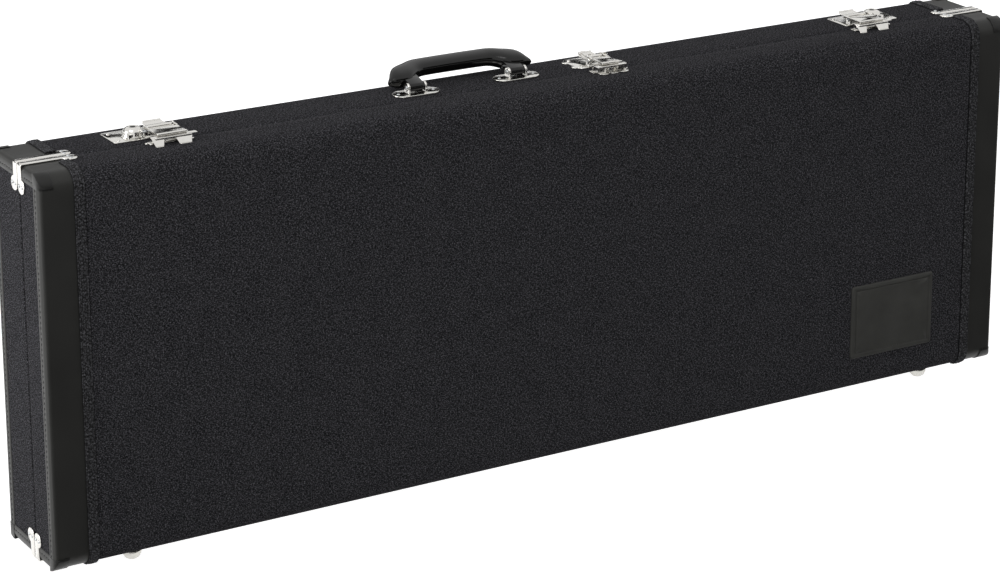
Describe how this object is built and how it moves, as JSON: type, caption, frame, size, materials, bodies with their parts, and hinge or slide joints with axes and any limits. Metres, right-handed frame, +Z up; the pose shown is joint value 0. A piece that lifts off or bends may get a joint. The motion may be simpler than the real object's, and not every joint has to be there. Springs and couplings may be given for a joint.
{
  "type": "guitar case",
  "caption": "Rectangular hardshell guitar case standing on its hinge side, denim covered with vinyl ends, chrome latches and clamps, moulded handle, padded interior and hinged lid.",
  "frame": {"origin": "on the floor, below the middle of the case, which stands on its hinge side", "axes": "+X along the length, -Y out of the lid, +Z up towards the handle"},
  "size_m": [1.0608, 0.114, 0.4038],
  "materials": {
    "plywood": "sanded birch plywood",
    "denim": "black denim twill with a light slub",
    "vinyl": "satin smooth vinyl",
    "band": "woven stitched trim",
    "lining": "short plush over foam",
    "compartment": "plush covered board",
    "chrome": "bright nickel plate",
    "steel": "zinc plated",
    "feet": "pressed steel glides",
    "cap": "black corner pieces",
    "leather": "black embossed leather",
    "handle": "glossy moulded vinyl",
    "brass": "nickel plated brass",
    "ribbon": "woven ribbon"
  },
  "bodies": {
    "base": {"base_shell": "plywood", "base_cover": "denim", "base_end_covers": "vinyl", "base_end_panels": "denim", "base_trim_bands": "band", "rim_lip": "lining", "base_lining": "lining", "neck_rest": "lining", "body_cushions": "lining", "compartment_box": "compartment", "compartment_hinge_pin": "steel", "base_clamps": "chrome", "base_clamp_nails": "chrome", "base_corner_caps": "cap", "base_hinge_leaves": "steel", "hinge_pins": "steel", "base_feet": "feet", "latch_plate_left": "chrome", "latch_plate_right": "chrome", "latch_pin_left": "steel", "latch_pin_right": "steel", "latch_rivets": "chrome", "lock_plate": "chrome", "lock_pin": "steel", "lock_rivets": "chrome", "handle_plates": "chrome", "handle_pins": "steel", "handle_nails": "chrome"},
    "lid": {"lid_shell": "plywood", "lid_cover": "denim", "lid_end_covers": "vinyl", "lid_end_panels": "denim", "lid_trim_bands": "band", "lid_lining": "lining", "lid_clamps": "chrome", "lid_clamp_nails": "chrome", "lid_corner_caps": "cap", "lid_hinge_leaves": "steel", "lid_feet": "feet", "patch": "leather", "strike_left": "chrome", "strike_right": "chrome", "strike_lock": "chrome", "strike_rivets": "chrome"},
    "handle": {"handle_grip": "handle", "handle_blocks": "handle"},
    "latch_lever_left": {"latch_lever_left": "chrome", "latch_link_pin_left": "steel"},
    "latch_link_left": {"latch_link_left": "chrome"},
    "latch_lever_right": {"latch_lever_right": "chrome", "latch_link_pin_right": "steel"},
    "latch_link_right": {"latch_link_right": "chrome"},
    "lock_lever": {"lock_lever": "chrome", "lock_link_pin": "steel"},
    "lock_link": {"lock_link": "chrome"},
    "key_plug": {"key_plug": "brass"},
    "compartment_lid": {"compartment_lid": "compartment", "compartment_pull": "ribbon"}
  },
  "joints": [
    {"name": "lid_hinge", "type": "hinge", "parent": "base", "child": "lid", "pos_m": [0, -0.008, 0.0055], "axis": [1, 0, 0], "range_deg": [0, 100]},
    {"name": "handle_pivot", "type": "hinge", "parent": "base", "child": "handle", "pos_m": [-0.07, 0.009, 0.387], "axis": [1, 0, 0], "range_deg": [0, 146]},
    {"name": "latch_left_lever", "type": "hinge", "parent": "base", "child": "latch_lever_left", "pos_m": [-0.39, 0.006, 0.386], "axis": [1, 0, 0], "range_deg": [0, 110]},
    {"name": "latch_left_link", "type": "hinge", "parent": "latch_lever_left", "child": "latch_link_left", "pos_m": [-0.39, 0.011, 0.389], "axis": [1, 0, 0], "range_deg": [-110, 0]},
    {"name": "latch_right_lever", "type": "hinge", "parent": "base", "child": "latch_lever_right", "pos_m": [0.39, 0.006, 0.386], "axis": [1, 0, 0], "range_deg": [0, 110]},
    {"name": "latch_right_link", "type": "hinge", "parent": "latch_lever_right", "child": "latch_link_right", "pos_m": [0.39, 0.011, 0.389], "axis": [1, 0, 0], "range_deg": [-110, 0]},
    {"name": "lock_lever", "type": "hinge", "parent": "base", "child": "lock_lever", "pos_m": [0.074, 0.006, 0.386], "axis": [1, 0, 0], "range_deg": [0, 110]},
    {"name": "lock_link", "type": "hinge", "parent": "lock_lever", "child": "lock_link", "pos_m": [0.074, 0.011, 0.389], "axis": [1, 0, 0], "range_deg": [-110, 0]},
    {"name": "key_turn", "type": "hinge", "parent": "base", "child": "key_plug", "pos_m": [0.09, 0.022, 0.383], "axis": [0, 0, 1], "range_deg": [0, 90]},
    {"name": "compartment_hinge", "type": "hinge", "parent": "base", "child": "compartment_lid", "pos_m": [-0.101, -0.0029, 0.1437], "axis": [-1, 0, 0], "range_deg": [0, 90]}
  ],
  "couplings": [
    {"joint": "latch_left_link", "follows": "latch_left_lever", "ratio": -1},
    {"joint": "latch_right_link", "follows": "latch_right_lever", "ratio": -1},
    {"joint": "lock_link", "follows": "lock_lever", "ratio": -1},
    {"joint": "compartment_hinge", "follows": "lid_hinge", "ratio": 0.9}
  ]
}
